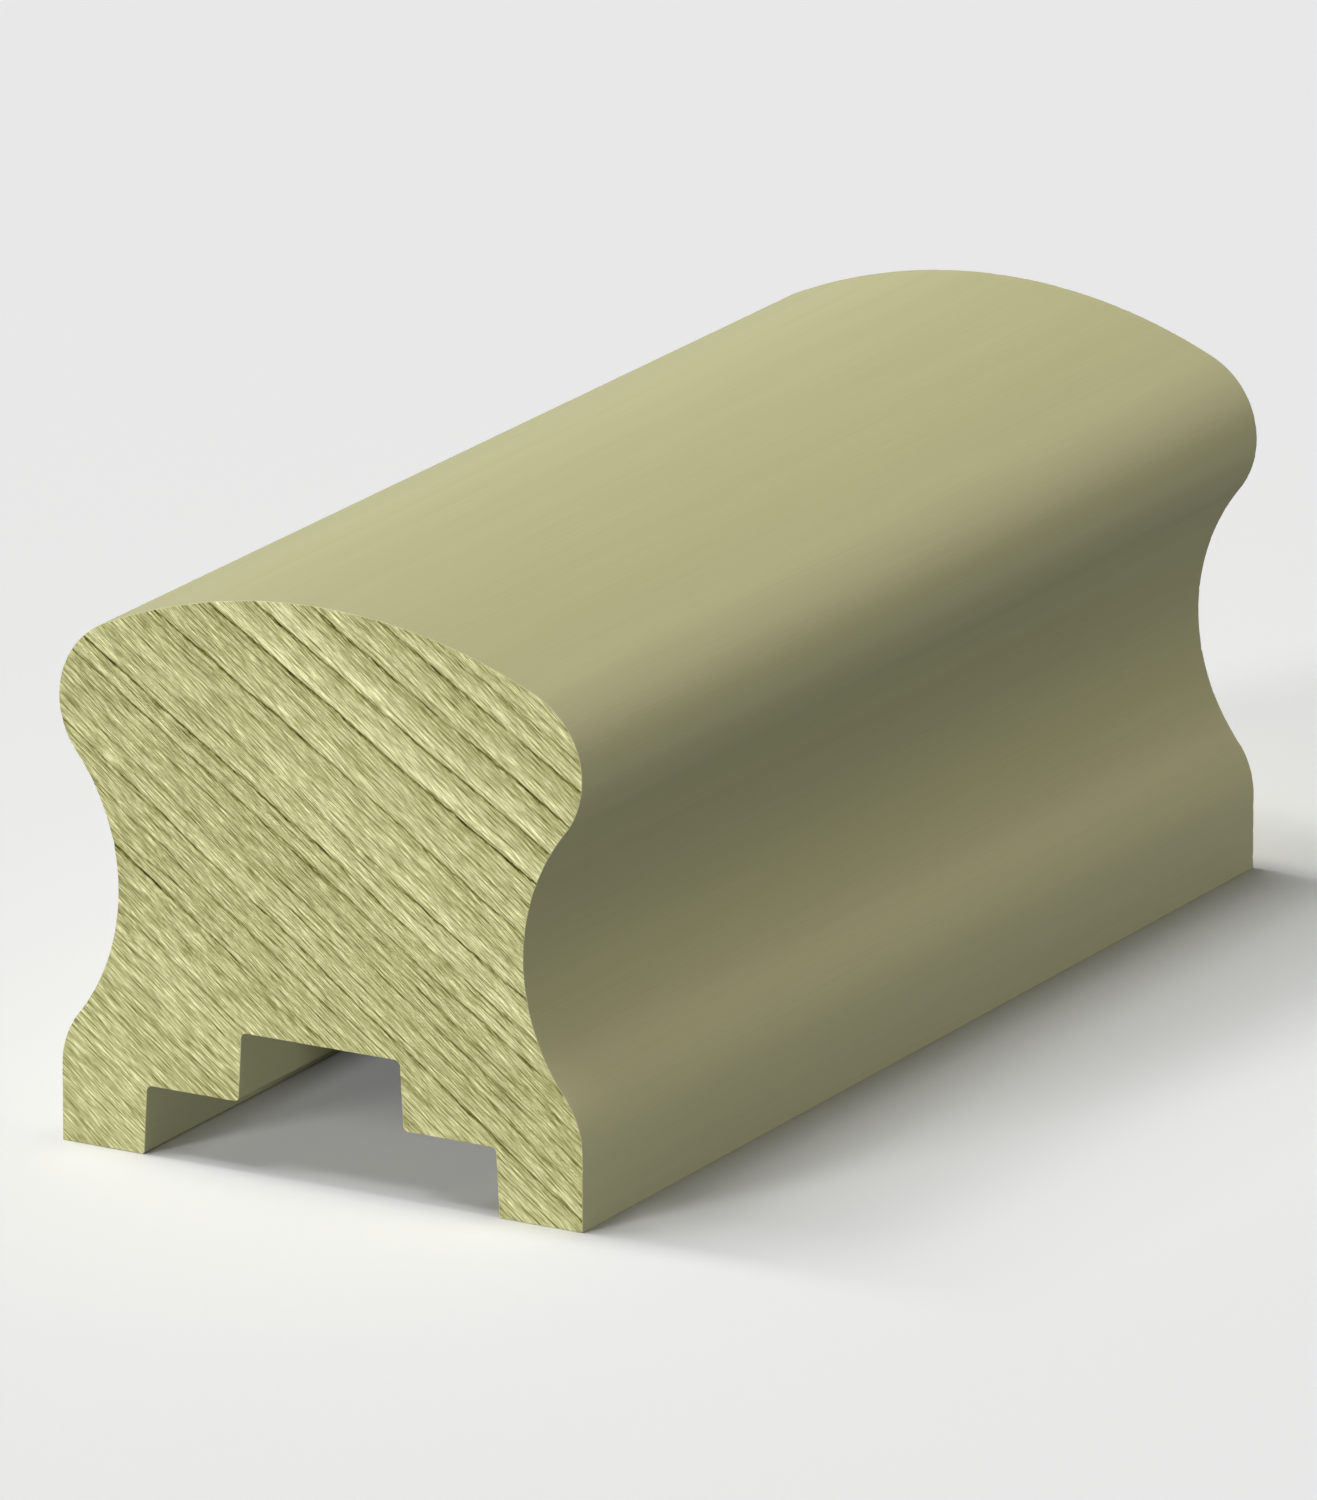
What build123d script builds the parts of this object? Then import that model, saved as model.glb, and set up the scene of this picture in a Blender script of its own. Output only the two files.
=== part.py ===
"""Moulded timber handrail, as a short length of its stock section.

One piece of timber, run through a moulder along its whole length and docked square at both ends.
The section is a domed grip over a drawn-in waist that flares out again to an upright base. A
stepped groove runs along the underside: the wide step seats on balusters or an infill strip, and
the narrow step above it clears a fixing rail.

The rail lies along Y and stands on its two feet. The origin is on the ground at mid length, in the
plane of symmetry, with +Z up through the crown of the grip. Lengths are in millimetres.
"""

from build123d import *

import os
from math import acos, asin, degrees, sqrt

# Overall sizes
rail_length = 140
rail_width = 60
rail_height = 60

# Grip, waist and base
dome_radius = 60
lobe_radius = 9
waist_depth = 6.7
shoulder_radius = 9
base_height = 8

# Stepped groove, with each width taken at the mouth of its own step
baluster_groove_width = 41
baluster_groove_depth = 7.25
fixing_groove_width = 19
fixing_groove_depth = 7.25
groove_draft = 3
groove_corner_radius = 0.6
ledge_nose_radius = 0.5
foot_arris_radius = 0.3

# The dome runs into a lobe on each side, and the base's shoulders are centred at the base's height
half_width = rail_width / 2
lobe_offset = half_width - lobe_radius
dome_drop = dome_radius - sqrt((dome_radius - lobe_radius) ** 2 - lobe_offset**2)
lobe_height = rail_height - dome_drop
lobe_to_shoulder = lobe_height - base_height

# One hollow, as deep as the waist, touches the lobe above it and the shoulder below it. With equal
# radii its lowest point is midway between their centres, and a larger lobe pushes it down.
waist_shift = waist_depth * (lobe_radius - shoulder_radius) / lobe_to_shoulder
lobe_to_waist = lobe_to_shoulder / 2 + waist_shift
waist_radius = (lobe_to_waist**2 + waist_depth**2) / (2 * waist_depth) - lobe_radius

# How far each arc turns before it runs smoothly into the next, in degrees
crown_turn = degrees(asin(lobe_offset / (dome_radius - lobe_radius)))
lobe_turn = degrees(acos(1 - waist_depth / (waist_radius + lobe_radius)))
shoulder_turn = degrees(acos(1 - waist_depth / (waist_radius + shoulder_radius)))

ledge_height = baluster_groove_depth
roof_height = ledge_height + fixing_groove_depth
wall_angle = 90 - groove_draft


def corners_at(height):
    """The section's corners at one height, from the middle of the rail outwards."""
    level = vertices().filter_by_position(Axis.Y, height - 0.001, height + 0.001)
    return level.sort_by(lambda corner: abs(corner.X))


with BuildPart() as handrail:
    with BuildSketch(Plane.XZ) as section:
        # Right half of the outline, from the crown of the grip down to the foot
        with BuildLine() as outline:
            crown = JernArc((0, rail_height), (1, 0), dome_radius, -crown_turn)
            lobe = JernArc(crown @ 1, crown % 1, lobe_radius, crown_turn - 90 - lobe_turn)
            waist = JernArc(lobe @ 1, lobe % 1, waist_radius, lobe_turn + shoulder_turn)
            shoulder = JernArc(waist @ 1, waist % 1, shoulder_radius, -shoulder_turn)
            Polyline(shoulder @ 1, (half_width, 0), (0, 0), crown @ 0)
        make_face()
        mirror(about=Plane.YZ)

        # Wide step of the groove, then the narrow step above its ledges
        on_base = (Align.CENTER, Align.MIN)
        Trapezoid(baluster_groove_width, baluster_groove_depth, wall_angle, align=on_base, mode=Mode.SUBTRACT)
        with Locations((0, ledge_height)):
            Trapezoid(fixing_groove_width, fixing_groove_depth, wall_angle, align=on_base, mode=Mode.SUBTRACT)

        # The cutters leave small radii in the groove and ease its edges
        fillet(corners_at(roof_height)[:2], groove_corner_radius)
        fillet(corners_at(ledge_height)[2:4], groove_corner_radius)
        fillet(corners_at(ledge_height)[:2], ledge_nose_radius)
        fillet(corners_at(0)[:2], foot_arris_radius)
    extrude(amount=rail_length / 2, both=True)

handrail.part.label = "handrail"

os.makedirs("parts", exist_ok=True)
export_step(handrail.part, "parts/handrail.step")
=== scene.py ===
"""Looks of the moulded timber handrail: its planed faces, its sawn ends, the studio and the camera.

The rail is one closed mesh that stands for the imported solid. Its section is carried along the rail,
and each sawn end is a fine lattice that follows the growth rings and carries their relief. The
section's sizes are in millimetres, and everything that is placed in the scene is in metres.
"""

import bpy
import numpy as np
from mathutils import Matrix, Vector
from mathutils.geometry import delaunay_2d_cdt


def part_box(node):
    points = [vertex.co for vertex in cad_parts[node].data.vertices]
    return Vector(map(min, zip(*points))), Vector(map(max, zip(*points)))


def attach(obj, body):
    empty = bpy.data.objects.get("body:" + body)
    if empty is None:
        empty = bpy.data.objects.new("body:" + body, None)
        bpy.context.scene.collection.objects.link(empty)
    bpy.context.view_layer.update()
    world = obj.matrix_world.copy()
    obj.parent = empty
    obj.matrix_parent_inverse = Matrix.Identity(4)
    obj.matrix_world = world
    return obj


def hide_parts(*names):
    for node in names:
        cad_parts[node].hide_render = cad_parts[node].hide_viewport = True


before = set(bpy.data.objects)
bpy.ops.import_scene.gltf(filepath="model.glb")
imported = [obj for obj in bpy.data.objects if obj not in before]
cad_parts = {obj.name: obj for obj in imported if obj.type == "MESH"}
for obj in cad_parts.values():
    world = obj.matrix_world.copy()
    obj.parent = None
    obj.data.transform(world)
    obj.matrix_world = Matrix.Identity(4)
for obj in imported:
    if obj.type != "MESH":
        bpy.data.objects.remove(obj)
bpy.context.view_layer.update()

MM = 0.001

# Overall sizes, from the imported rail
rail_low, rail_high = (np.array(corner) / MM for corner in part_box("handrail"))
RAIL_WIDTH, RAIL_LENGTH, RAIL_HEIGHT = rail_high - rail_low
HALF_WIDTH = RAIL_WIDTH / 2
HALF_LENGTH = RAIL_LENGTH / 2

# Grip, waist and base
DOME_RADIUS = 60.0
LOBE_RADIUS = 9.0
WAIST_DEPTH = 6.7
SHOULDER_RADIUS = 9.0
BASE_HEIGHT = 8.0

# Stepped groove
BALUSTER_GROOVE_WIDTH = 41.0
BALUSTER_GROOVE_DEPTH = 7.25
FIXING_GROOVE_WIDTH = 19.0
FIXING_GROOVE_DEPTH = 7.25
GROOVE_DRAFT = np.radians(3.0)
GROOVE_CORNER_RADIUS = 0.6
LEDGE_NOSE_RADIUS = 0.5
FOOT_ARRIS_RADIUS = 0.3

# How finely the rail's faces are divided, the saw's fine arris, and what counts as a sharp corner
OUTLINE_STEP = 0.42
LEAST_ARC_POINTS = 5
STATIONS = 36
SAW_ARRIS = 0.04
SHARP_ANGLE = np.radians(30)

# Each end's lattice as the step between its rows and the step along a row, and the seed of its noise
FRONT_LATTICE = (0.19, 0.55)
BACK_LATTICE = (0.22, 0.6)
FRONT_SEED = 11
BACK_SEED = 41

# How many cells the grid of random heights has each way, which is far more than an end takes up
DRIFT_CELLS = 512

# The rings fall to the right at one angle, and the fibres that the saw tore fall a little more steeply
GRAIN_MIDDLE = np.array([0.0, 30.0])
GRAIN_ANGLE = np.radians(33.0)
FIBRE_ANGLE = np.radians(40.0)

# Growth rings: distance from the grain's middle across the grain, how dark the ring's line is towards
# the left and the right of the photographed end, and how pale the band above it is. A line goes from
# its left darkness to its right one over the span.
RING_SPAN = 50
RINGS = [
    (31.3, 0.5, 0.6, 0.3),
    (28.75, 0.8, 1.0, 0.6),
    (25.0, 0.9, 1.0, 0.6),
    (21.05, 1.0, 1.0, 1.0),
    (17.45, 1.1, 1.25, 1.2),
    (15.1, 0.1, 0.45, 0.1),
    (12.4, 1.0, 0.85, 0.35),
    (10.6, 0.35, 0.2, 0.1),
    (7.2, 0.2, 1.05, 0.4),
    (4.3, 1.15, 0.45, 0.6),
    (2.1, 0.85, 0.65, 0.35),
    (0.05, 0.45, 0.6, 0.15),
    (-1.7, 0.2, 0.7, 0.15),
    (-3.4, 0.5, 0.6, 0.25),
    (-5.9, 0.85, 0.95, 0.35),
    (-8.7, 0.5, 0.5, 0.2),
    (-12.0, 0.9, 0.55, 0.3),
    (-14.5, 0.4, 0.3, 0.2),
    (-17.3, 0.45, 0.45, 0.3),
    (-20.0, 0.2, 0.3, 0.2),
    (-22.0, 0.3, 0.4, 0.2),
    (-24.3, 0.3, 0.3, 0.2),
    (-26.2, 0.3, 0.4, 0.2),
    (-28.6, 0.4, 0.3, 0.2),
    (-31.0, 0.35, 0.3, 0.2),
]

# Colours in display levels, to which the tones are added before the sum is turned to linear light
END_COLOUR = (0.722, 0.710, 0.494)
FACE_COLOUR = (0.741, 0.729, 0.561)
DISPLAY_GAMMA = 2.2
WHITE = (1, 1, 1)

# The photograph's camera, which looks at the rail from a little over two metres
CAMERA_AZIMUTH = 29.804
CAMERA_ELEVATION = 16.959
CAMERA_LENS = 493.4
CAMERA_DISTANCE = 2.1004
CAMERA_SIDEWAYS = -0.00123
CAMERA_LIFT = 0.02561
CAMERA_SEES_AS_FAR_AS = 100

# Half the floor's width, its colour to the camera and for bounced light, its glow and how near to the
# rail that starts to fade as painted shade, and the world's level
FLOOR_HALF = 30.0
FLOOR_COLOUR = 0.93
FLOOR_BOUNCE = 0.3
FLOOR_GLOW = 0.155
FLOOR_GLOW_REACH = 0.005
WORLD_LEVEL = 0.01

# Strips overhead: lean off vertical towards +X, tilt towards -Y, level, and width in metres
OVERHEAD_REACH = 20
OVERHEAD_LENGTH = 3.5
OVERHEAD_LAMPS = [
    (-10, 0, 0.13, 4.0),
    (-20, 0, 0.09, 1.8),
    (-30, 0, 0.06, 1.8),
    (-40, 0, 0.05, 1.8),
    (-10, 15, 0.09, 5.0),
    (-30, 12, 0.09, 5.0),
]

# Distant lamps: name, level, lean off vertical towards +X, how far that lean is swung towards -Y,
# softness in degrees, and colour. The first lights everything, and the fills light the rail alone.
FRONT_LEFT_LAMP = ("front_left", 0.42, 76, 112, 14, WHITE)
FILL_LAMPS = [
    ("end_fill", 0.26, 80, 105, 12, WHITE),
    ("left_fill", 0.2, -70, 0, 30, (0.64, 0.82, 1)),
    ("upper_right_fill", 0.2, 27, 0, 30, (1, 0.88, 0.64)),
    ("front_right_fill", 0.35, 85, 40, 20, (0.86, 0.91, 1)),
    ("back_fill", 0.8, 89.5, -90, 1, WHITE),
]


def drift(u, v, along, across, seed):
    """Smooth unevenness from -1 to 1: seeded random heights on a grid, eased between its corners.

    The grid's cells are as long as along and as wide as across, both in millimetres.
    """
    heights = np.random.default_rng(seed).uniform(-1, 1, (DRIFT_CELLS, DRIFT_CELLS))
    u_place, v_place = u / along + DRIFT_CELLS / 2, v / across + DRIFT_CELLS / 2
    column, row = np.floor(u_place).astype(int), np.floor(v_place).astype(int)
    s, t = u_place - column, v_place - row
    s, t = s * s * (3 - 2 * s), t * t * (3 - 2 * t)
    next_column, next_row = (column + 1) % DRIFT_CELLS, (row + 1) % DRIFT_CELLS
    column, row = column % DRIFT_CELLS, row % DRIFT_CELLS
    near = heights[column, row] * (1 - s) + heights[next_column, row] * s
    far = heights[column, next_row] * (1 - s) + heights[next_column, next_row] * s
    return near * (1 - t) + far * t


def unit(vector):
    """A vector scaled to length one."""
    return vector / np.linalg.norm(vector)


def arc(centre, radius, start, end):
    """Centre plus radius times (sin, cos) of a bearing that runs from start to end, clockwise from up.

    A negative radius makes a hollow, with its centre outside the timber.
    """
    count = int(np.ceil(abs(radius * (end - start)) / OUTLINE_STEP)) + 1
    bearing = np.linspace(start, end, max(count, LEAST_ARC_POINTS))
    return np.array(centre) + radius * np.stack([np.sin(bearing), np.cos(bearing)], axis=1)


def straight(start, end):
    """Evenly spaced points from one corner to the next."""
    count = int(np.ceil(np.linalg.norm(np.subtract(end, start)) / OUTLINE_STEP)) + 1
    return np.linspace(start, end, count)


def rounded(before, corner, after, radius):
    """The arc that touches both edges of a corner: its centre is on the line that halves the corner."""
    to_before, to_after = unit(before - corner), unit(after - corner)
    half = np.arccos(to_before @ to_after) / 2
    centre = corner + unit(to_before + to_after) * radius / np.sin(half)
    first = corner + to_before * radius / np.tan(half) - centre
    last = corner + to_after * radius / np.tan(half) - centre
    start, end = np.arctan2(first[0], first[1]), np.arctan2(last[0], last[1])
    turn = (end - start + np.pi) % (2 * np.pi) - np.pi
    return arc(centre, radius, start, start + turn)


def section_outline():
    """The section as one closed loop, clockwise from the crown: tangent arcs, then the stepped groove."""
    lobe_x = HALF_WIDTH - LOBE_RADIUS
    reach = DOME_RADIUS - LOBE_RADIUS
    dome_z = RAIL_HEIGHT - DOME_RADIUS
    lobe_z = dome_z + np.sqrt(reach**2 - lobe_x**2)
    fall = lobe_z - BASE_HEIGHT
    lobe_to_waist = fall / 2 + WAIST_DEPTH * (LOBE_RADIUS - SHOULDER_RADIUS) / fall
    waist_radius = (lobe_to_waist**2 + WAIST_DEPTH**2) / (2 * WAIST_DEPTH) - LOBE_RADIUS
    waist_centre = (HALF_WIDTH - WAIST_DEPTH + waist_radius, lobe_z - lobe_to_waist)

    level = np.pi / 2
    crown_turn = np.arcsin(lobe_x / reach)
    lobe_turn = level + np.arccos(1 - WAIST_DEPTH / (waist_radius + LOBE_RADIUS))
    shoulder_turn = level - np.arccos(1 - WAIST_DEPTH / (waist_radius + SHOULDER_RADIUS))

    ledge = BALUSTER_GROOVE_DEPTH
    roof = ledge + FIXING_GROOVE_DEPTH
    mouth_x, nose_x = BALUSTER_GROOVE_WIDTH / 2, FIXING_GROOVE_WIDTH / 2
    narrowing = np.tan(GROOVE_DRAFT)
    outer_foot = np.array([HALF_WIDTH, 0.0])
    inner_foot = np.array([mouth_x, 0.0])
    ledge_corner = np.array([mouth_x - BALUSTER_GROOVE_DEPTH * narrowing, ledge])
    ledge_nose = np.array([nose_x, ledge])
    roof_corner = np.array([nose_x - FIXING_GROOVE_DEPTH * narrowing, roof])
    roof_middle = np.array([0.0, roof])

    inner_foot_arc = rounded(outer_foot, inner_foot, ledge_corner, FOOT_ARRIS_RADIUS)
    ledge_corner_arc = rounded(inner_foot, ledge_corner, ledge_nose, GROOVE_CORNER_RADIUS)
    ledge_nose_arc = rounded(ledge_corner, ledge_nose, roof_corner, LEDGE_NOSE_RADIUS)
    roof_corner_arc = rounded(ledge_nose, roof_corner, roof_middle, GROOVE_CORNER_RADIUS)

    right = [
        arc((0, dome_z), DOME_RADIUS, 0, crown_turn),
        arc((lobe_x, lobe_z), LOBE_RADIUS, crown_turn, lobe_turn),
        arc(waist_centre, -waist_radius, lobe_turn, shoulder_turn),
        arc((HALF_WIDTH - SHOULDER_RADIUS, BASE_HEIGHT), SHOULDER_RADIUS, shoulder_turn, level),
        straight((HALF_WIDTH, BASE_HEIGHT), outer_foot),
        straight(outer_foot, inner_foot_arc[0]),
        inner_foot_arc,
        straight(inner_foot_arc[-1], ledge_corner_arc[0]),
        ledge_corner_arc,
        straight(ledge_corner_arc[-1], ledge_nose_arc[0]),
        ledge_nose_arc,
        straight(ledge_nose_arc[-1], roof_corner_arc[0]),
        roof_corner_arc,
        straight(roof_corner_arc[-1], roof_middle),
    ]
    right = np.concatenate([stretch[:-1] for stretch in right])
    left = np.concatenate([[roof_middle], right[:0:-1] * (-1, 1)])
    return np.concatenate([right, left])


def eased(loop, amount):
    """A loop drawn in by a small amount, square to the line between each point's neighbours."""
    run = np.roll(loop, -1, axis=0) - np.roll(loop, 1, axis=0)
    outward = np.stack([-run[:, 1], run[:, 0]], axis=1)
    outward /= np.linalg.norm(outward, axis=1, keepdims=True)
    return loop - amount * outward


def grain_axes():
    """Unit directions along and across the growth rings, as seen on the photographed end."""
    along = np.array([np.cos(GRAIN_ANGLE), -np.sin(GRAIN_ANGLE)])
    across = np.array([np.sin(GRAIN_ANGLE), np.cos(GRAIN_ANGLE)])
    return along, across


def ring_bend(u, v, seed):
    """How far a ring strays from straight: a slope that changes across the grain, and small waves."""
    places = [-30, -14, -6, 3, 12, 20]
    slopes = [-0.02, -0.03, -0.055, -0.01, 0.0, 0.02]
    slope = np.interp(v, places, slopes)
    waves = 0.16 * drift(u, v, 11, 6, seed) + 0.07 * drift(u, v, 3, 2, seed + 1)
    return slope * u + waves + 0.03 * drift(u, v, 0.9, 0.8, seed + 2)


def growth(points, seed):
    """Where points of the section lie in the timber: along the grain, and across it in ring heights."""
    along, across = grain_axes()
    u = (points - GRAIN_MIDDLE) @ along
    v = (points - GRAIN_MIDDLE) @ across
    return u, v - ring_bend(u, v, seed)


def ring_tone(u, height, seed):
    """Soft lightness and shade around the growth rings, in display levels, of which white is 1.

    Below each ring, shade falls away as exp(distance / fade): some of it goes with how dark the ring's
    line is, and some with how pale its band is. Above it the band rises evenly and then falls away as
    exp(-(distance / fade)^2).
    """
    line_shade, line_fade = 0.05, 0.7
    band_shade, shade_fade = 0.06, 0.8
    band_light, band_rise, band_fade = 0.12, 0.7, 1.6
    tone = 0.03 * drift(u, height, 26, 5, seed + 4)
    for ring, left, right, pale in RINGS:
        above = height - ring
        below = np.minimum(above, 0)
        tone -= line_shade * (left + right) / 2 * np.exp(below / line_fade) * (above < 0)
        shade = -band_shade * np.exp(below / shade_fade) * (above < 0)
        falling = np.exp(-((np.maximum(above, 0) / band_fade) ** 2))
        band = band_light * np.clip(above / band_rise, 0, 1) * falling
        tone += (shade + band) * pale
    return tone


def line_strength(u, left, right):
    """How dark a ring's line is: even from its left value to its right value over the rings' span."""
    return left + (right - left) * np.clip(0.5 + u / RING_SPAN, 0, 1)


def nearest_ring(u, height):
    """Millimetres above the nearest ring, and how dark that ring's line is there."""
    heights, left, right, _ = np.array(RINGS).T
    nearest = np.abs(height[:, None] - heights).argmin(axis=1)
    return height - heights[nearest], line_strength(u, left[nearest], right[nearest])


def ring_relief(u, height, seed):
    """How far the sawn surface lies behind the end's plane, in millimetres.

    Each ring's line is a small groove, as deep as exp(-(distance / width)^2). The pale, softer wood
    above it was torn a little deeper and rises slowly to the next ring. Streaks of torn fibres run
    along the grain.
    """
    base_depth = 0.05
    line_depth, line_width = 0.13, 0.14
    torn_depth, torn_slope, torn_fade = 0.05, 1.2, 1.6
    streaks = 0.014 * drift(u, height, 14, 1.2, seed + 7)
    depth = base_depth + streaks + 0.008 * drift(u, height, 7, 0.5, seed + 8)
    for ring, left, right, pale in RINGS:
        above = height - ring
        depth += line_depth * line_strength(u, left, right) * np.exp(-((above / line_width) ** 2))
        torn = np.clip(above / torn_slope, 0, 1) * np.exp(-np.maximum(above, 0) / torn_fade)
        depth += torn_depth * pale * torn
    return np.maximum(depth, 0)


def lattice(loop, row_step, column_step, seed):
    """Points in rows that follow the rings, closer beside each ring, and clear of the outline.

    Even rows give way where a ring's own rows are near. How far a row strays depends on where it lies,
    so its place is found in a few rounds. Points are dropped in the small cells that the outline crosses
    and in the cells next to them.
    """
    reach_across, reach_along, least_gap, rounds = 36, 42, 0.06, 4
    rows = np.arange(-reach_across, reach_across + 1, row_step)
    beside = np.array([-0.2, -0.1, 0.0, 0.1, 0.2])
    ring_rows = (np.array([ring[0] for ring in RINGS])[:, None] + beside).ravel()
    clear = np.abs(rows[:, None] - ring_rows).min(axis=1) > least_gap
    rows = np.sort(np.concatenate([rows[clear], ring_rows]))
    columns = np.arange(-reach_along, reach_along, column_step)
    u, height = np.meshgrid(columns, rows)
    u[1::2] += column_step / 2
    v = height
    for _ in range(rounds):
        v = height + ring_bend(u, v, seed)
    along, across = grain_axes()
    points = GRAIN_MIDDLE + u.reshape(-1, 1) * along + v.reshape(-1, 1) * across

    cell, cells, first_cell = 0.1, 800, (-40, -10)
    to_next = np.roll(loop, -1, axis=0) - loop
    dense = np.concatenate([loop + to_next * share for share in (0, 0.25, 0.5, 0.75)])
    taken = np.zeros((cells, cells), bool)
    column, row = ((dense - first_cell) / cell).astype(int).T
    for across_cells in (-1, 0, 1):
        for up_cells in (-1, 0, 1):
            taken[row + up_cells, column + across_cells] = True
    column, row = ((points - first_cell) / cell).astype(int).T
    within = (column >= 0) & (column < cells) & (row >= 0) & (row < cells)
    points, column, row = points[within], column[within], row[within]
    return points[~taken[row, column]]


def end_face(loop, row_step, column_step, seed):
    """Corners and triangles of one end: the outline first, then the lattice within it, by Delaunay."""
    inside_only, tolerance = 1, 1e-6
    corners = np.concatenate([loop, lattice(loop, row_step, column_step, seed)])
    outline_face = [list(range(len(loop)))]
    made = delaunay_2d_cdt(corners.tolist(), [], outline_face, inside_only, tolerance)
    corners = np.array([tuple(corner) for corner in made[0]])
    used, faces = np.unique(np.array(made[2]), return_inverse=True)
    return corners[used], faces.reshape(-1, 3)


def growth_marks(u, height, seed):
    """What the shaders read at each corner: soft ring tone, offset from the nearest ring, its strength."""
    return np.stack([ring_tone(u, height, seed), *nearest_ring(u, height)], axis=1)


def bell(place, middle, width):
    """One at the middle, falling away on both sides as exp(-((place - middle) / width)^2)."""
    return np.exp(-(((place - middle) / width) ** 2))


def painted_shade_and_light(outline):
    """Painted shade and painted light round the section, in display levels.

    They were chosen so that the faces' shading agrees with the photograph, and one picture can't tell
    whether the tint or the light causes them. Each is a bell by height: painted shade in the waist and
    under the lobe, painted light on the lobe and the shoulder. The base is evenly paler, also painted
    light. They fade in over 2 mm from 20 mm either side of the middle. The crown is a little paler on
    its left side alone, also painted light.
    """
    x, z = outline.T
    # Painted shade in the waist and under the lobe; painted light on the lobe, shoulder, base and the
    # crown's left
    darker = -0.035 * bell(z, 30, 8) - 0.018 * bell(z, 44, 1.6)
    paler = 0.065 * bell(z, 13.5, 4) + 0.04 * bell(z, 51.5, 2.5)
    base = 0.045 * np.clip((12 - z) / 4, 0, 1)
    crown = 0.02 * bell(x, -15, 8) * (z > 45)
    return (darker + paler + base) * np.clip((np.abs(x) - 20) / 2, 0, 1) + crown


def sawn_end(rim, side, row_step, column_step, seed):
    """One end of the rail: its lattice set back from the end's plane by the relief, faces outwards."""
    points, faces = end_face(rim, row_step, column_step, seed)
    u, height = growth(points, seed)
    y = side * (HALF_LENGTH - ring_relief(u, height, seed))
    corners = np.stack([points[:, 0], y, points[:, 1]], axis=1)
    return corners, faces[:, ::-side], growth_marks(u, height, seed)


def timber_mesh():
    """Corners, end triangles, side quads and growth marks of the rail, as one closed surface.

    Loops of the section stand at stations along Y. The first and the last loop belong to the ends. The
    long faces keep a small share of the rings' soft tone, with painted shade and painted light added.
    """
    tone_share = 0.05
    outline = section_outline()
    rim = eased(outline, SAW_ARRIS)
    count = len(outline)
    front, front_faces, front_marks = sawn_end(rim, -1, *FRONT_LATTICE, FRONT_SEED)
    back, back_faces, back_marks = sawn_end(rim, 1, *BACK_LATTICE, BACK_SEED)

    stations = np.linspace(-1, 1, STATIONS)[:, None] * (HALF_LENGTH - SAW_ARRIS)
    y = np.repeat(stations, count, axis=1)
    y[0] = front[:count, 1] + SAW_ARRIS
    y[-1] = back[:count, 1] - SAW_ARRIS
    x, z = np.broadcast_to(outline[:, 0], y.shape), np.broadcast_to(outline[:, 1], y.shape)
    sides = np.stack([x, y, z], axis=-1).reshape(-1, 3)
    u, height = growth(outline, FRONT_SEED)
    side_marks = growth_marks(u, height, FRONT_SEED)
    # The long faces' tone: a small share of the rings' tone plus painted shade and painted light round the
    # section
    side_marks[:, 0] = tone_share * side_marks[:, 0] + painted_shade_and_light(outline)
    side_marks = np.tile(side_marks, (STATIONS, 1))

    first_side, first_back = len(front), len(front) + len(sides)
    loop = np.arange(count)
    side_loops = first_side + np.arange(len(sides)).reshape(STATIONS, count)
    loops = np.vstack([loop, side_loops, first_back + loop])
    after = np.roll(loops, -1, axis=1)
    quads = np.stack([loops[:-1], after[:-1], after[1:], loops[1:]], axis=-1).reshape(-1, 4)
    corners = np.concatenate([front, sides, back])
    triangles = np.concatenate([front_faces, back_faces + first_back])
    return corners, triangles, quads, np.concatenate([front_marks, side_marks, back_marks])


def make_rail(face_material, end_material):
    """Put the timber's surface into a mesh object, smooth but for the corners between its faces.

    The ends' triangles come first and take the second material, and the long faces' quads the first.
    """
    corners, triangles, quads, marks = timber_mesh()
    mesh = bpy.data.meshes.new("handrail_timber")
    mesh.from_pydata((corners * MM).tolist(), [], triangles.tolist() + quads.tolist())
    mesh.materials.append(face_material)
    mesh.materials.append(end_material)
    material_index = np.concatenate([np.ones(len(triangles), int), np.zeros(len(quads), int)])
    mesh.polygons.foreach_set("material_index", material_index)
    mesh.polygons.foreach_set("use_smooth", np.ones(len(material_index), bool))
    mesh.set_sharp_from_angle(angle=SHARP_ANGLE)
    # On the long faces the ring_tone mark also holds painted shade and painted light round the section
    for name, values in zip(("ring_tone", "ring_offset", "ring_strength"), marks.T):
        kept = mesh.attributes.new(name, "FLOAT", "POINT")
        kept.data.foreach_set("value", np.ascontiguousarray(values))
    mesh.update()
    piece = bpy.data.objects.new("handrail_timber", mesh)
    bpy.context.scene.collection.objects.link(piece)
    return piece


def node(tree, kind, inputs=None, **settings):
    """Add a shader node. Each input is a value, or another node's output to join."""
    made = tree.nodes.new("ShaderNode" + kind)
    for name, value in settings.items():
        setattr(made, name, value)
    for name, value in (inputs or {}).items():
        if isinstance(value, bpy.types.NodeSocket):
            tree.links.new(value, made.inputs[name])
        else:
            made.inputs[name].default_value = value
    return made


def maths(tree, operation, first, second=0.0, third=0.0):
    """The result of one step of arithmetic on values or outputs."""
    made = node(tree, "Math", {0: first, 1: second, 2: third}, operation=operation)
    return made.outputs["Value"]


def stretched(tree, vector, stretch):
    """A vector multiplied axis by axis. For noise, that's the number of its cells in a metre."""
    return node(tree, "Mapping", {"Vector": vector, "Scale": stretch}).outputs["Vector"]


def turned(tree, angle, stretch):
    """Object coordinates turned about Y so that X runs along the grain, then stretched by axis."""
    place = node(tree, "TexCoord").outputs["Object"]
    turn = node(tree, "Mapping", {"Vector": place, "Rotation": (0, -angle, 0)})
    return stretched(tree, turn.outputs["Vector"], stretch)


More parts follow.
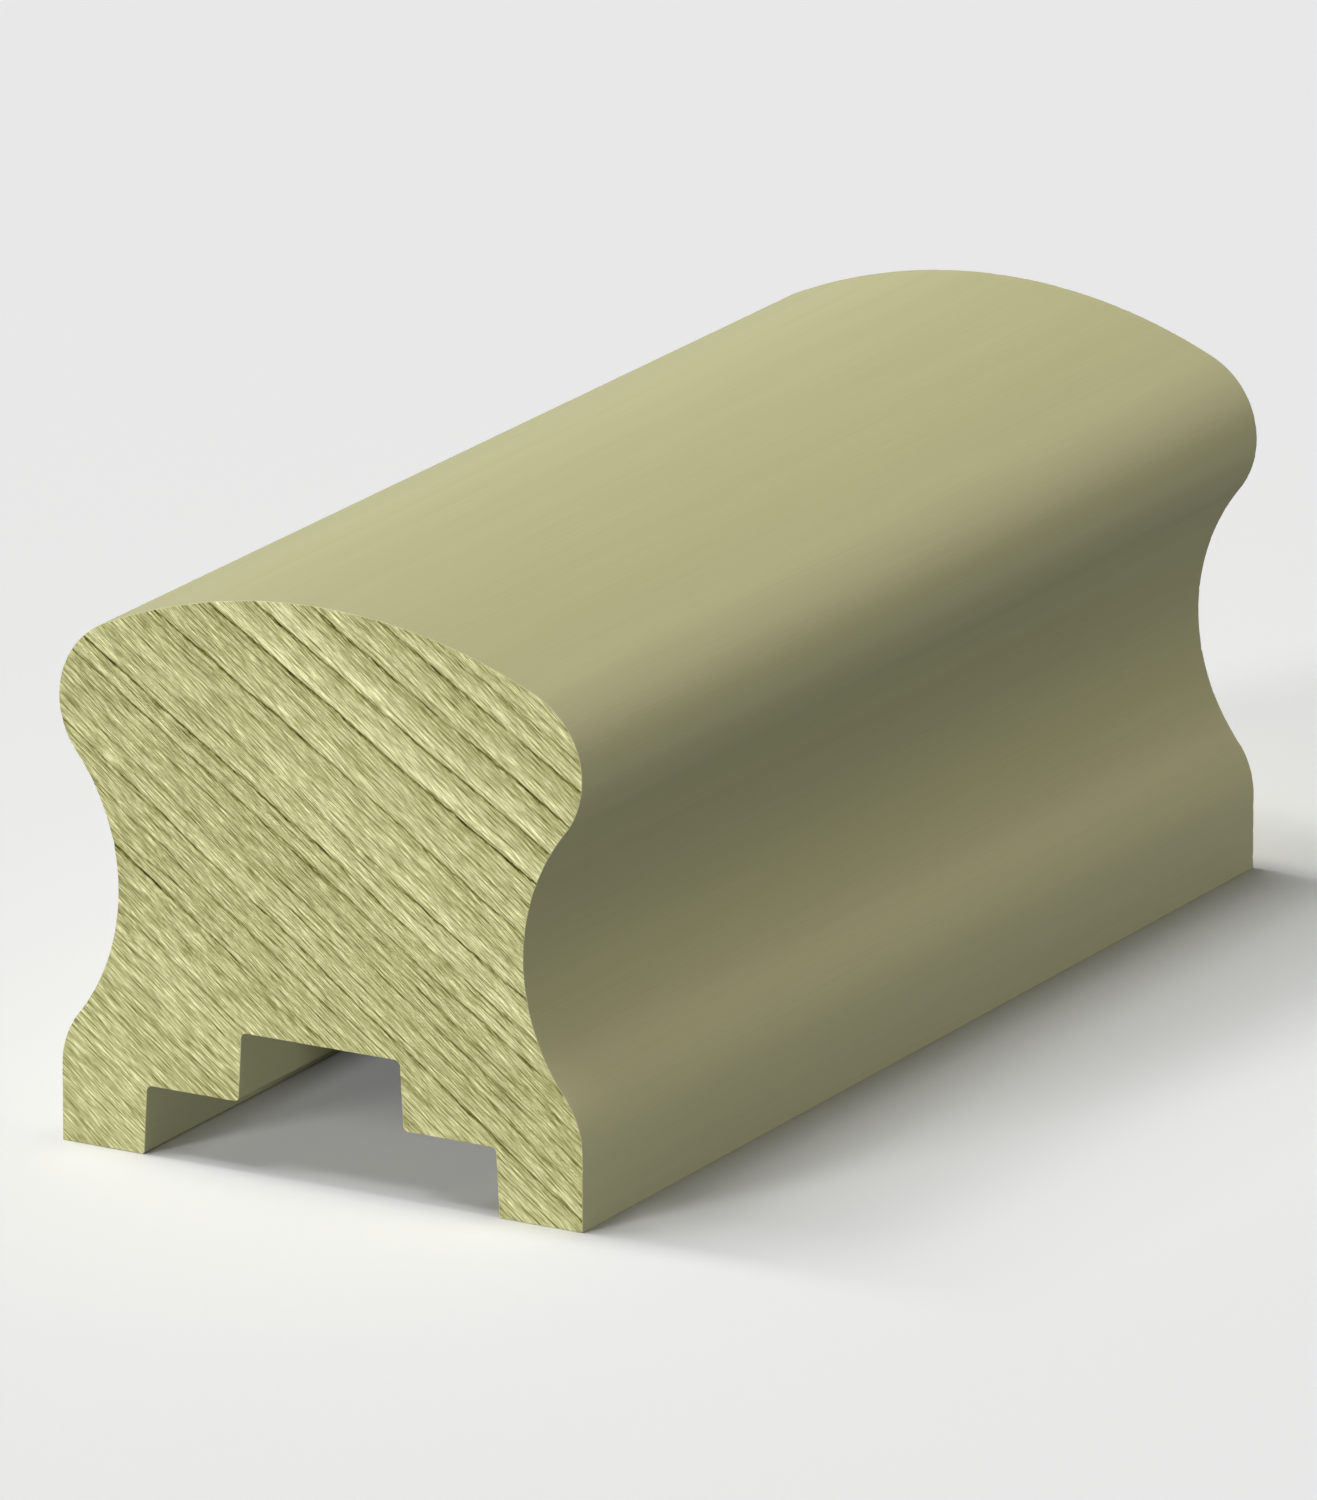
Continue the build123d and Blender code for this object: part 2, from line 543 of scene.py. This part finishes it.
def noise(tree, vector, detail=2.0, roughness=0.5, distortion=0.0):
    """Noise about zero, from roughly -0.5 to 0.5."""
    made = node(tree, "TexNoise", {
        "Vector": vector,
        "Scale": 1.0,
        "Detail": detail,
        "Roughness": roughness,
        "Distortion": distortion,
    })
    return maths(tree, "SUBTRACT", made.outputs["Fac"], 0.5)


def tinted(tree, shader, base, tone):
    """Colour the shader by a base in display levels plus a tone, and turn the sum to linear light."""
    levels = node(tree, "VectorMath", {0: base, 1: tone}, operation="ADD").outputs["Vector"]
    colour = node(tree, "Gamma", {"Color": levels, "Gamma": DISPLAY_GAMMA}).outputs["Color"]
    tree.links.new(colour, shader.inputs["Base Color"])


def new_material(name, roughness, specular):
    """A material with its own shader, and the tree that it stands in."""
    material = bpy.data.materials.new(name)
    material.use_nodes = True
    shader = material.node_tree.nodes["Principled BSDF"]
    shader.inputs["Roughness"].default_value = roughness
    shader.inputs["Specular IOR Level"].default_value = specular
    return material, material.node_tree, shader


def roughened(tree, shader, height, strength, depth):
    """Give the shader fine unevenness from a height, which counts as the depth in metres times it."""
    bump = node(tree, "Bump", {"Strength": strength, "Distance": depth, "Height": height})
    tree.links.new(bump.outputs["Normal"], shader.inputs["Normal"])


def mark(tree, name):
    """One of the values that the mesh keeps at its corners."""
    return node(tree, "Attribute", attribute_name=name).outputs["Fac"]


def line(tree, offset, width):
    """One along the middle of a line, where the offset is zero, falling away as exp(-(offset/width)^2)."""
    share = maths(tree, "DIVIDE", offset, width)
    return maths(tree, "EXPONENT", maths(tree, "MULTIPLY", maths(tree, "MULTIPLY", share, share), -1.0))


def faded(tree, vector, contrast, middle):
    """Noise times a contrast plus a middle, held between 0 and 1: a mask that leaves out patches."""
    made = maths(tree, "MULTIPLY_ADD", noise(tree, vector, detail=1.0), contrast, middle)
    return node(tree, "Clamp", {"Value": made}).outputs["Result"]


def crack_offset(tree, angle, per_mm):
    """Millimetres from the nearest of many lines along the grain, which noise moves from even spacing."""
    per_metre = 1000 * per_mm
    spacings_moved = 2.4
    apart = node(tree, "SeparateXYZ", {"Vector": turned(tree, angle, (1000, 1000, per_metre))})
    moved = noise(tree, turned(tree, angle, (35, 20, 260 * per_mm)))
    phase = maths(tree, "MULTIPLY_ADD", moved, spacings_moved, apart.outputs["Z"])
    offset = maths(tree, "SUBTRACT", maths(tree, "FRACT", phase), 0.5)
    return maths(tree, "DIVIDE", offset, per_mm)


def near_waist(tree):
    """One beside the left waist, where the grain ripples, falling evenly to nothing about 14 mm away."""
    middle_x, middle_z, per_metre = -0.01786, 0.02714, 70
    place = node(tree, "TexCoord").outputs["Object"]
    centred = node(tree, "Mapping", {
        "Vector": place,
        "Location": (-middle_x * per_metre, 0, -middle_z * per_metre),
        "Scale": (per_metre, 0, per_metre),
    })
    length = node(tree, "VectorMath", {0: centred.outputs["Vector"]}, operation="LENGTH").outputs["Value"]
    return maths(tree, "MAXIMUM", maths(tree, "SUBTRACT", 1.0, length), 0.0)


def sawn_end_material():
    """Sawn softwood end: growth rings, streaks of torn fibre and short fibres that cross the rings.

    The tone is a sum. Each part of it is noise about nought, or a line that is nought elsewhere, times
    its own share in display levels.
    """
    material, tree, shader = new_material("sawn_end_grain", roughness=0.75, specular=0.25)

    # Ring lines, moved up and down a little by noise and fainter in patches
    ring_width, ring_waver = 0.11, 0.42
    waver = noise(tree, turned(tree, GRAIN_ANGLE, (1100, 60, 2600)), roughness=0.6)
    offset = maths(tree, "MULTIPLY_ADD", waver, ring_waver, mark(tree, "ring_offset"))
    patchy = faded(tree, turned(tree, GRAIN_ANGLE, (180, 30, 500)), contrast=2.0, middle=0.95)
    strength = maths(tree, "MULTIPLY", mark(tree, "ring_strength"), patchy)
    ring_lines = maths(tree, "MULTIPLY", line(tree, offset, ring_width), strength)

    # Two sets of cracks along the grain, one wide apart and one close, both broken up
    wide_cracks = line(tree, crack_offset(tree, GRAIN_ANGLE + 0.02, per_mm=0.8), width=0.08)
    close_cracks = line(tree, crack_offset(tree, GRAIN_ANGLE + 0.06, per_mm=2.1), width=0.06)
    broken = faded(tree, turned(tree, GRAIN_ANGLE, (90, 30, 900)), contrast=5.0, middle=0.5)
    rare = faded(tree, turned(tree, GRAIN_ANGLE + 0.05, (170, 30, 1500)), contrast=6.0, middle=0.35)
    cracks = maths(tree, "MULTIPLY", wide_cracks, broken)
    cracks = maths(tree, "MULTIPLY_ADD", close_cracks, rare, cracks)

    # Fibres and grains cross the rings, threads follow them, and the ripple is beside the waist alone
    fibres = noise(tree, turned(tree, FIBRE_ANGLE, (480, 60, 10500)), detail=0.0)
    grains = noise(tree, turned(tree, FIBRE_ANGLE - 0.05, (1500, 60, 9000)), detail=1.0, roughness=0.6)
    threads = noise(tree, turned(tree, GRAIN_ANGLE + 0.03, (260, 60, 4200)), detail=1.0)
    ripple = noise(tree, turned(tree, FIBRE_ANGLE + 0.3, (1300, 60, 3000)), detail=1.0, distortion=0.6)
    ripple = maths(tree, "MULTIPLY", ripple, near_waist(tree))

    # The lift makes up for the lines and cracks, which only darken
    thread_share, mottle_share, lift = 0.11, 0.035, 0.044
    shares = ((fibres, 0.6), (grains, 0.33), (ripple, 0.35), (cracks, -0.19), (ring_lines, -0.33))
    fine = maths(tree, "MULTIPLY_ADD", threads, thread_share, lift)
    for part, share in shares:
        fine = maths(tree, "MULTIPLY_ADD", part, share, fine)
    mottle = noise(tree, turned(tree, GRAIN_ANGLE, (60, 20, 300)))
    tone = maths(tree, "MULTIPLY_ADD", mottle, mottle_share, fine)
    tinted(tree, shader, END_COLOUR, maths(tree, "ADD", mark(tree, "ring_tone"), tone))
    roughened(tree, shader, fine, strength=0.6, depth=0.00005)
    return material


def moulded_face_material():
    """Planed softwood with a light olive preservative tint: close, even long grain and a soft sheen."""
    material, tree, shader = new_material("moulded_face", roughness=0.6, specular=0.3)
    hair_share, band_share = 0.035, 0.02
    place = node(tree, "TexCoord").outputs["Object"]
    hairs = noise(tree, stretched(tree, place, (4200, 45, 4200)))
    bands = noise(tree, stretched(tree, place, (420, 9, 420)))
    fine = maths(tree, "MULTIPLY", hairs, hair_share)
    tone = maths(tree, "MULTIPLY_ADD", bands, band_share, fine)
    # The ring_tone mark on these faces also holds painted shade in the waist and under the lobe, and
    # painted light on the lobe, shoulder, base and the crown's left
    tinted(tree, shader, FACE_COLOUR, maths(tree, "ADD", mark(tree, "ring_tone"), tone))
    roughened(tree, shader, hairs, strength=0.25, depth=0.00002)
    return material


def floor_material():
    """Pale matt floor. It has one colour for the camera and a darker one for the light it throws back.

    A glow that only the camera sees keeps full shadow from going black. It is multiplied by the square
    of the share of open space around, so that it fades away close to the rail: painted shade on the floor
    beside it.
    """
    material = bpy.data.materials.new("studio_floor")
    material.use_nodes = True
    tree = material.node_tree
    tree.nodes.clear()
    seen = node(tree, "LightPath").outputs["Is Camera Ray"]
    shade = maths(tree, "MULTIPLY_ADD", seen, FLOOR_COLOUR - FLOOR_BOUNCE, FLOOR_BOUNCE)
    lit = node(tree, "BsdfDiffuse", {"Color": shade})
    # Painted shade: the glow fades where the rail closes in around the floor
    open_share = node(tree, "AmbientOcclusion", {"Distance": FLOOR_GLOW_REACH}).outputs["AO"]
    squared = maths(tree, "POWER", open_share, 2.0)
    strength = maths(tree, "MULTIPLY", maths(tree, "MULTIPLY", seen, FLOOR_GLOW), squared)
    shine = node(tree, "Emission", {"Color": (1, 1, 1, 1), "Strength": strength})
    both = node(tree, "AddShader", {0: lit.outputs["BSDF"], 1: shine.outputs["Emission"]})
    node(tree, "OutputMaterial", {"Surface": both.outputs["Shader"]})
    return material


def make_floor():
    """One wide level square, just under the feet."""
    half, below = FLOOR_HALF, -0.00002
    corners = [(-half, -half, below), (half, -half, below), (half, half, below), (-half, half, below)]
    mesh = bpy.data.meshes.new("studio_floor")
    mesh.from_pydata(corners, [], [(0, 1, 2, 3)])
    mesh.materials.append(floor_material())
    floor = bpy.data.objects.new("studio_floor", mesh)
    bpy.context.scene.collection.objects.link(floor)


def from_bearing(lean, swing):
    """Direction of light that comes from a lean off vertical, towards +X, swung towards -Y by a turn."""
    lean, swing = np.radians(lean), np.radians(swing)
    return -Vector((np.sin(lean) * np.cos(swing), -np.sin(lean) * np.sin(swing), np.cos(lean)))


def from_above(lean, tilt):
    """Direction of light from overhead, leaning off vertical towards +X and tilting towards -Y."""
    return -Vector((np.tan(np.radians(lean)), -np.tan(np.radians(tilt)), 1)).normalized()


def placed(name, data, matrix):
    """An object with its own place and turn, put into the scene."""
    holder = bpy.data.objects.new(name, data)
    holder.matrix_world = matrix
    bpy.context.scene.collection.objects.link(holder)
    return holder


def standing(axes, place):
    """The matrix of an object whose own X, Y and Z point along three unit axes, at a place."""
    return Matrix.Translation(place) @ Matrix(axes).transposed().to_4x4()


def sun(name, level, lean, swing, softness, colour, receivers=None):
    """A distant lamp. Level is how light it makes a white card that faces it.

    Where a collection of receivers is given, the lamp lights nothing else.
    """
    lamp = bpy.data.lights.new(name, "SUN")
    lamp.energy = np.pi * level
    lamp.angle = np.radians(softness)
    lamp.color = colour
    turn = from_bearing(lean, swing).to_track_quat("-Z", "Y").to_matrix().to_4x4()
    holder = placed(name, lamp, turn)
    if receivers:
        holder.light_linking.receiver_collection = receivers


def overhead_strip(name, lean, tilt, level, width):
    """A far rectangular lamp, its length in the upright plane of its direction and its width across.

    Level is how light it makes a white card that faces it.
    """
    lamp = bpy.data.lights.new(name, "AREA")
    lamp.shape = "RECTANGLE"
    lamp.size, lamp.size_y = width, OVERHEAD_LENGTH
    lamp.energy = 4 * np.pi * OVERHEAD_REACH**2 * level
    direction = from_above(lean, tilt)
    level_axis = direction.cross((0, 0, 1)).normalized()
    steep_axis = level_axis.cross(direction)
    placed(name, lamp, standing((level_axis, steep_axis, -direction), -direction * OVERHEAD_REACH))


def make_camera():
    """The photograph's view: a long lens that looks down on the photographed end and the right side."""
    azimuth, elevation = np.radians(CAMERA_AZIMUTH), np.radians(CAMERA_ELEVATION)
    level_reach = np.cos(elevation)
    back = Vector((np.sin(azimuth) * level_reach, -np.cos(azimuth) * level_reach, np.sin(elevation)))
    right = Vector((np.cos(azimuth), np.sin(azimuth), 0))
    up = back.cross(right)
    camera = bpy.data.cameras.new("camera")
    camera.lens = CAMERA_LENS
    camera.clip_end = CAMERA_SEES_AS_FAR_AS
    place = back * CAMERA_DISTANCE + right * CAMERA_SIDEWAYS + up * CAMERA_LIFT
    bpy.context.scene.camera = placed("camera", camera, standing((right, up, back), place))


def make_studio(rail):
    """World, lamps and floor. The fills light the rail alone, so the floor keeps one soft shadow."""
    scene = bpy.context.scene
    scene.view_settings.view_transform = "Standard"
    world = bpy.data.worlds.new("studio")
    world.use_nodes = True
    background = world.node_tree.nodes["Background"]
    background.inputs["Color"].default_value = (1, 1, 1, 1)
    background.inputs["Strength"].default_value = WORLD_LEVEL
    scene.world = world
    rail_alone = bpy.data.collections.new("rail_alone")
    rail_alone.objects.link(rail)

    # The strips lean to the left, and two of them also tilt towards the camera's end. Together they
    # throw one soft shadow to the right.
    for number, lamp in enumerate(OVERHEAD_LAMPS):
        overhead_strip("overhead_%d" % number, *lamp)
    sun(*FRONT_LEFT_LAMP)
    for lamp in FILL_LAMPS:
        sun(*lamp, rail_alone)
    make_floor()


rail = make_rail(moulded_face_material(), sawn_end_material())
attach(rail, "root")
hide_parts("handrail")
make_studio(rail)
make_camera()
